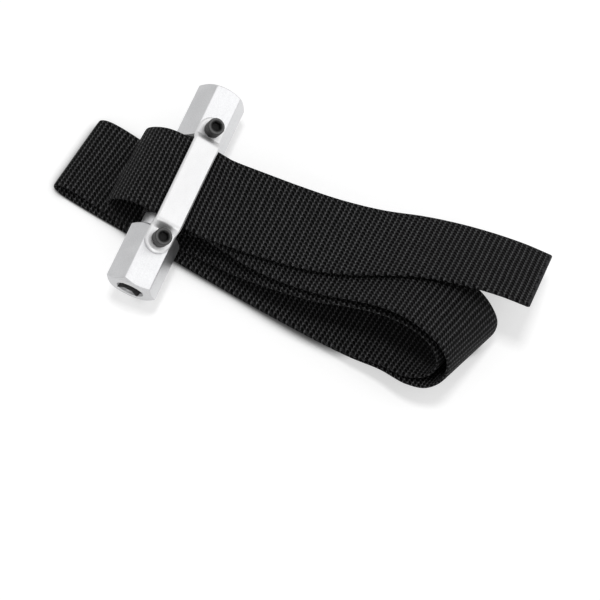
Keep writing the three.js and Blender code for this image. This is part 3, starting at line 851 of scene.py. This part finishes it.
# %% The bridge's bent line
PLATE_HALF = 7.9
PLATE_THICK = 2.8
PLATE_BEVEL = 0.9
SCREW_SPACING = 73.0
TOP_HALF = 26.25  # from the middle to the first bend
STEP_RUN = 3.4  # how far along the bar the step takes
METAL_GAP = 0.3  # left between pieces that are screwed together
FOOT_HEIGHT = HEX_FLAT + METAL_GAP
BRIDGE_HEIGHT = EYE_OUTSIDE + 5.7
BEND_INSIDE = 0.9  # radius on the inside of a bend
SPARE = 1  # how far the bent line runs on past the plate's end


def bent_line():
    """The underside of half the bridge from its middle out: points, and how steep it is at each.

    Straight pieces join two arcs. The underside is inside the first bend and outside the second,
    whose radius has the plate's thickness more."""
    steep = math.atan2(BRIDGE_HEIGHT - FOOT_HEIGHT, STEP_RUN)
    first, second = BEND_INSIDE, BEND_INSIDE + PLATE_THICK
    back = math.tan(steep / 2)
    slope = np.array([math.cos(steep), -math.sin(steep)])
    start = np.array([TOP_HALF - first * back, BRIDGE_HEIGHT])
    end = np.array([TOP_HALF + STEP_RUN, FOOT_HEIGHT]) - slope * second * back
    turn = np.linspace(0, steep, 9)
    arc_one = start + first * np.stack([np.sin(turn), np.cos(turn) - 1], 1)
    arc_two = end + second * np.stack([np.sin(steep) - np.sin(steep - turn),
                                       np.cos(steep) - np.cos(steep - turn)], 1)
    flat_end = np.array([SCREW_SPACING / 2 + PLATE_HALF + SPARE, FOOT_HEIGHT])
    points = np.vstack([[0, BRIDGE_HEIGHT], arc_one, arc_two, flat_end])
    lean = np.concatenate([[0], turn, steep - turn, [0]])
    return points, lean


bend_points, bend_lean = bent_line()
bend_run = run_along(bend_points)
foot_run = bend_run[-1] - PLATE_HALF - SPARE  # distance along the strip of the screw's axis


def bend(x, s, h):
    """A point x across, s along and h above the flat strip's underside, on the bent strip."""
    y, z, lean = (np.interp(abs(s), bend_run, column) for column in (*bend_points.T, bend_lean))
    return x, np.sign(s) * (y + h * np.sin(lean)), z + h * np.cos(lean)


print(f"screws {foot_run:.1f} mm from the middle, along the bend")

# %% Bridge surface
inside = np.concatenate([np.linspace(0, bend_run[1] - 0.4, 12), bend_run[1:-1],
                         np.linspace(bend_run[9] + 0.5, bend_run[10] - 0.5, 5),
                         np.linspace(bend_run[-2] + 0.4, foot_run, 6)])
inside = np.unique(np.round(inside, 4))
straight = np.concatenate([-inside[:0:-1], inside])
round_end = np.linspace(0, math.pi, 33)[1:-1]


def both_halves(side, end):
    """One side and end of the outline, then the other, which is the same turned half round."""
    half = np.concatenate([side, end])
    return np.concatenate([half, -half])


outline_s = both_halves(straight, np.full(len(round_end), foot_run))
outline_x = both_halves(np.ones(len(straight)), np.cos(round_end))
outline_e = both_halves(np.zeros(len(straight)), np.sin(round_end))
rim = broken([[PLATE_HALF * 0.6, 0], [0, 0], [0, PLATE_THICK - PLATE_BEVEL],
              [PLATE_BEVEL, PLATE_THICK], [PLATE_HALF * 0.6, PLATE_THICK]], 0.18)
rim = np.vstack([[PLATE_HALF, 0], rim, [PLATE_HALF, PLATE_THICK]])
wide = (PLATE_HALF - rim[:, 0])[:, None]
strip = bend(wide * outline_x, outline_s + wide * outline_e, rim[:, 1][:, None] + 0 * outline_x)
rings = in_bar(*strip)
bridge = make_object("strap_bridge_plated", rings.reshape(-1, 3), ring_quads(*rings.shape[:2]))
finish_piece(bridge, "strap_bridge")

# %% [markdown]
# ## Cap screws and spring washers
# The two screws are plain socket head cap screws: a knurled head with a hexagon socket. The knurl
# is a ripple on the radius, the socket a hexagon's radius. The washers are split spring washers:
# a nearly square section carried round most of a circle, whose two ends spring a little apart.

# %% Screws
HEAD = 5.0  # radius
HEAD_HEIGHT = 6.0
HEX_SOCKET = 2.5  # from the axis to a side of the hexagon
HEX_SOCKET_DEPTH = 3.2
SHANK = 3.0  # radius
SCREW_LENGTH = 16.0
WASHER_SEAT = FOOT_HEIGHT + PLATE_THICK + METAL_GAP
WASHER_SPRUNG = 1.6  # its height with its ends sprung apart
HEAD_SEAT = WASHER_SEAT + WASHER_SPRUNG + METAL_GAP
KNURLS = 48
KNURL_DEPTH = 0.16

screw_angle = np.radians(np.arange(0, 360, 1.5))


def screw(name, node, y):
    """One screw, its rows going from the socket's floor out over the head and down to the tip."""
    top, tip = HEAD_SEAT + HEAD_HEIGHT, HEAD_SEAT - SCREW_LENGTH
    socket = polygon_radius(screw_angle, HEX_SOCKET, 6)
    floor = top - HEX_SOCKET_DEPTH
    rows = [(floor - 0.5, 0), (floor - 0.02, socket * 0.92), (floor, socket * 0.98),
            (floor + 0.1, socket), (floor + 1.5, socket), (top - 0.3, socket),
            (top - 0.22, np.maximum(socket, 2.78)), (top, np.maximum(socket, 3.0))]
    head_line = broken([[top, 3.1], [top, HEAD - 0.55], [top - 0.55, HEAD],
                        [HEAD_SEAT + 0.25, HEAD], [HEAD_SEAT, HEAD - 0.25], [HEAD_SEAT, SHANK],
                        [tip + 0.6, SHANK], [tip, SHANK - 0.6], [tip, 0.5]], 0.12)
    ripple = 0.5 + 0.5 * np.cos(KNURLS * screw_angle)
    for h, r in head_line:
        knurled = HEAD_SEAT + 0.3 < h < top - 0.5 and r > HEAD - 0.05
        rows.append((h, r - KNURL_DEPTH * ripple * knurled))
    rows.append((tip, 0))
    piece = turned(name, screw_angle, rows,
                   lambda r, a, h: in_bar(r * np.sin(a), y + r * np.cos(a), h))
    return finish_piece(piece, node)


screws = [screw("cap_screw_near", "bridge_screw_near", -SCREW_SPACING / 2),
          screw("cap_screw_far", "bridge_screw_far", SCREW_SPACING / 2)]


# %% Washers
def washer(name, node, y, split):
    """One washer, its gap at the angle `split`: a section with broken corners carried round."""
    inner, outer, thick = 3.15, 4.9, 1.5
    half_gap = 7  # degrees
    middle_radius, girth = 4, 7  # roughly, and only to lay out the band's own coordinates
    section = broken([[inner, 0.4], [inner, 0], [outer, 0], [outer, thick], [inner, thick],
                      [inner, 0.6]], 0.15)[1:]
    sweep = np.radians(np.linspace(half_gap, 360 - half_gap, 90))[:, None]
    spring = np.linspace(-0.03, 0.12, 90)[:, None]
    r, h = section[None, :, 0], section[None, :, 1] + WASHER_SEAT + spring
    a = sweep + split
    rings = in_bar(r * np.sin(a), y + r * np.cos(a), h)
    around = np.arange(len(section) + 1) / len(section)
    piece = band(name, rings, sweep[:, 0] * middle_radius * MM, around * girth * MM)
    return finish_piece(piece, node)


washers = [washer("spring_washer_near", "lock_washer_near", -SCREW_SPACING / 2, 3.9),
           washer("spring_washer_far", "lock_washer_far", SCREW_SPACING / 2, 0.6)]

# %% [markdown]
# ## Satin plating on the bar
# The bar is turned and drawn steel under satin nickel-chrome. Its hexagons keep faint lines along
# their length, the waist keeps rings round the axis, and the plating varies a little in
# roughness. Inside the socket it is darker, from thinner plating and from painted shade, and the
# end faces and cones are darkened as painted shade. Both kinds of line are noise stretched along
# one way: a place turned into the bar's own axes gives the drawn lines, and the distance from the
# axis with the place along it gives the rings.

# %% Bar material
def unrolled(g, arrow):
    """The arrow, turned back by the roll with which the bar lies."""
    return g.add("ShaderNodeVectorRotate", {"Vector": arrow, "Angle": -BAR_ROLL},
                 rotation_type="Y_AXIS").outputs[0]


def bar_axes(g):
    """The point's place with the bar's axis as the origin and the bridge straight up."""
    shift = g.add("ShaderNodeVectorMath", {0: g.object_place(), 1: tuple(AXIS)},
                  operation="SUBTRACT")
    return unrolled(g, shift.outputs[0])


def speckled(g, place, cloud, dark, light):
    """A colour from dark to light by a fine grain and, less so, by a wider cloud."""
    grain = g.noise(place, 1900.0, 2.0, 0.6)
    return g.mix(g.times_plus(grain, 0.7, g.times(cloud, 0.3)), dark, light)


BORE_EDGE = 9.6  # a radius past the socket's corners and short of the waist
FACE_SKIN = 0.15  # a point this near an end face isn't in the bore

g = new_material("satin_nickel_chrome", drive_bar)
place = bar_axes(g)
x, y, z = g.split(place)[:3]
drawn = g.noise(g.stretched(place, 5000, 60, 5000), 1.0, 3.0, 0.65)
radius = g.distance(x, z)
rings = g.noise(g.vector(g.times(radius, 3000.0), g.times(y, 5000.0)), 1.0, 3.0, 0.6)
on_waist = g.math("LESS_THAN", g.math("ABSOLUTE", y), WAIST_HALF * MM)
lines = g.add("ShaderNodeMix", {0: on_waist, 2: drawn, 3: rings}, data_type="FLOAT").outputs[0]
cloud = g.noise(place, 90.0, 4.0, 0.6)
tint = speckled(g, place, cloud, (0.54, 0.543, 0.555, 1), (0.90, 0.902, 0.91, 1))
end_shade_facing = g.math("ABSOLUTE", g.split(g.normal())[1])
tint = g.dimmed(tint, g.ramp(end_shade_facing, 0.2, 0.5, 1.0, 0.8))  # painted shade on the end faces and cones
bore_plating_and_shade = g.times(g.math("LESS_THAN", radius, BORE_EDGE * MM),
                g.math("LESS_THAN", g.math("ABSOLUTE", y), (BAR_HALF - FACE_SKIN) * MM))
# inside the socket: darker from thinner plating, and painted shade
tint = g.mix(bore_plating_and_shade, tint, (0.26, 0.26, 0.265, 1))
rough = g.math("ADD", g.ramp(lines, 0.25, 0.75, 0.32, 0.44), g.ramp(cloud, 0.3, 0.7, -0.03, 0.05))
g.surface(Base_Color=tint, Metallic=1.0, Roughness=rough, Normal=g.bump(lines, 0.006 * MM))
print("bar plated")

# %% [markdown]
# ## Bright plating on the bridge
# The bridge is pressed plate with a brighter coat than the bar. Handling leaves hair scratches on
# it, most of them along its length and a few across. They change how rough it is, and the long
# ones are a few thousandths of a millimetre deep as well.

# %% Bridge material
g = new_material("bright_chrome_plate", bridge)
place = bar_axes(g)
hair = g.noise(g.stretched(place, 2500, 120, 2500, (0, 0, 0.12)), 1.0, 4.0, 0.7)
cross_hair = g.noise(g.stretched(place, 300, 4000, 300, (0, 0, 0.5)), 1.0, 4.0, 0.7)
cloud = g.noise(place, 70.0, 3.0, 0.5)
rough = g.math("ADD", g.ramp(hair, 0.35, 0.75, 0.42, 0.52),
               g.ramp(cross_hair, 0.62, 0.72, 0.0, 0.08))
tint = speckled(g, place, cloud, (0.66, 0.66, 0.665, 1), (0.92, 0.92, 0.925, 1))
g.surface(Base_Color=tint, Metallic=0.8, Roughness=rough, Normal=g.bump(hair, 0.004 * MM))
print("bridge plated")

# %% [markdown]
# ## Black oxide on the screws and washers
# Cap screws come with a black oxide coat: dark and slightly oily. The top ring of the head is a
# lighter grey, partly rubbed through and partly painted light on the face that looks up, and the
# socket is painted near black as painted shade. The grey and the black follow how far a point is
# from the screw's axis, and the grey also whether the face there looks up.

# %% Screw material
SOCKET_SHADE_END, RUB_AND_LIGHT_FULL = 3.0, 4.2  # from the screw's axis: where the socket's painted shade ends, and where rub and painted light are full

g = new_material("black_oxide", *screws, *washers)
place = bar_axes(g)
x, y = g.split(place)[:2]
from_screw = g.minus(g.math("ABSOLUTE", y), SCREW_SPACING / 2 * MM)
reach_out = g.distance(x, from_screw)
speck = g.noise(place, 1500.0, 4.0, 0.6)
rub_past_socket_shade = g.times(g.ramp(reach_out, SOCKET_SHADE_END * MM, RUB_AND_LIGHT_FULL * MM), g.ramp(speck, 0.3, 0.7, 0.6, 1.0))
up = g.split(unrolled(g, g.normal()))[2]
top_light_and_rub = g.times(rub_past_socket_shade, g.ramp(up, 0.5, 0.9))
# painted shade: near black inside the socket; the top ring's grey is partly rubbed wear and partly
# painted light where the face looks up
tint = g.mix(top_light_and_rub, g.mix(rub_past_socket_shade, grey(0.004), (0.035, 0.034, 0.034, 1)), grey(0.12))
g.surface(Base_Color=tint, Metallic=0.3, Roughness=g.ramp(speck, 0.3, 0.7, 0.38, 0.52),
          Normal=g.bump(speck, 0.01 * MM), Specular_IOR_Level=0.3)
print("screws and washers blackened")

# %% [markdown]
# ## Floor, lamps and surroundings
# The tool lies on a plain white sheet. A soft key lamp above it gives the shadow, a wide panel
# shows as a highlight in the metal, and a weak fill opens the front. The sheet shows white to the
# camera and in reflections by a little light of its own on those rays only. It still takes the
# shadow, and a painted contact shade darkens it further where the tool nearly touches it.

# %% Floor
FLOOR_SIZE = 3.0
GLOW = 0.46  # the sheet's own light, on the rays that show it
CONTACT = 0.009  # how near the tool has to be for the painted contact shade on the sheet
corners = np.array([[-1, -1, 0], [1, -1, 0], [1, 1, 0], [-1, 1, 0]]) * FLOOR_SIZE / 2
floor = make_object("floor", corners, np.array([[0, 1, 2, 3]]))
g = new_material("white_paper", floor)
seen = g.seen_rays()
fibres = g.noise(g.object_place(), 400.0, 3.0)
near_by = g.add("ShaderNodeAmbientOcclusion", {"Distance": CONTACT}, samples=16).outputs["AO"]
# painted shade where the tool nearly touches the sheet, read from ambient occlusion
contact_shade = g.ramp(near_by, 0.5, 0.98, 0.1, 1.0)
pale = g.dimmed(g.mix(fibres, grey(0.64), grey(0.66)), contact_shade)
matte = g.add("ShaderNodeBsdfDiffuse", {"Color": pale}).outputs[0]
glow_strength = g.times(g.times(seen, contact_shade), GLOW)
glow = g.add("ShaderNodeEmission", {"Color": grey(1.0), "Strength": glow_strength}).outputs[0]
g.wire_out(g.add("ShaderNodeAddShader", {0: matte, 1: glow}))
print("floor of", FLOOR_SIZE, "m laid")


# %% Lamps and world
def soft_lamp(name, place, aim, size, power):
    """A square lamp of this side in metres, turned to face the point it is aimed at."""
    lamp = bpy.data.lights.new(name, "AREA")
    lamp.size = size
    lamp.energy = power
    holder = put_in_scene(name, lamp)
    holder.location = place
    holder.rotation_euler = (Vector(aim) - Vector(place)).to_track_quat("-Z", "Y").to_euler()
    return holder


# in the metal the key lamp would be a small hard spot, so reflections leave it out
soft_lamp("key_lamp", (0.0, 0.1, 1.2), (0, 0, 0), 0.2, 4.9).visible_glossy = False
soft_lamp("reflected_panel", (0.53, 0.34, 0.77), (0, 0, 0), 0.7, 0.9)
soft_lamp("front_fill", (0.25, -0.9, 0.45), (0, 0, 0.02), 0.5, 1.5)
SKY = 0.5  # how strongly the surroundings light the tool; rays that show them read `shown`
surroundings = bpy.data.worlds.new("surroundings")
bpy.context.scene.world = surroundings
g = Graph(surroundings)
height = g.split(g.add("ShaderNodeTexCoord").outputs["Generated"])[2]
shown = g.math("MAXIMUM", g.ramp(height, 0.0, 0.6, 0.5, 1.0),
               g.add("ShaderNodeLightPath").outputs["Is Camera Ray"])
strength = g.times_plus(g.seen_rays(), g.minus(shown, SKY), SKY)
g.wire_out(g.add("ShaderNodeBackground", {"Color": grey(1.0), "Strength": strength}), "World")
bpy.context.scene.view_settings.view_transform = "Standard"
print("lamps and surroundings placed")
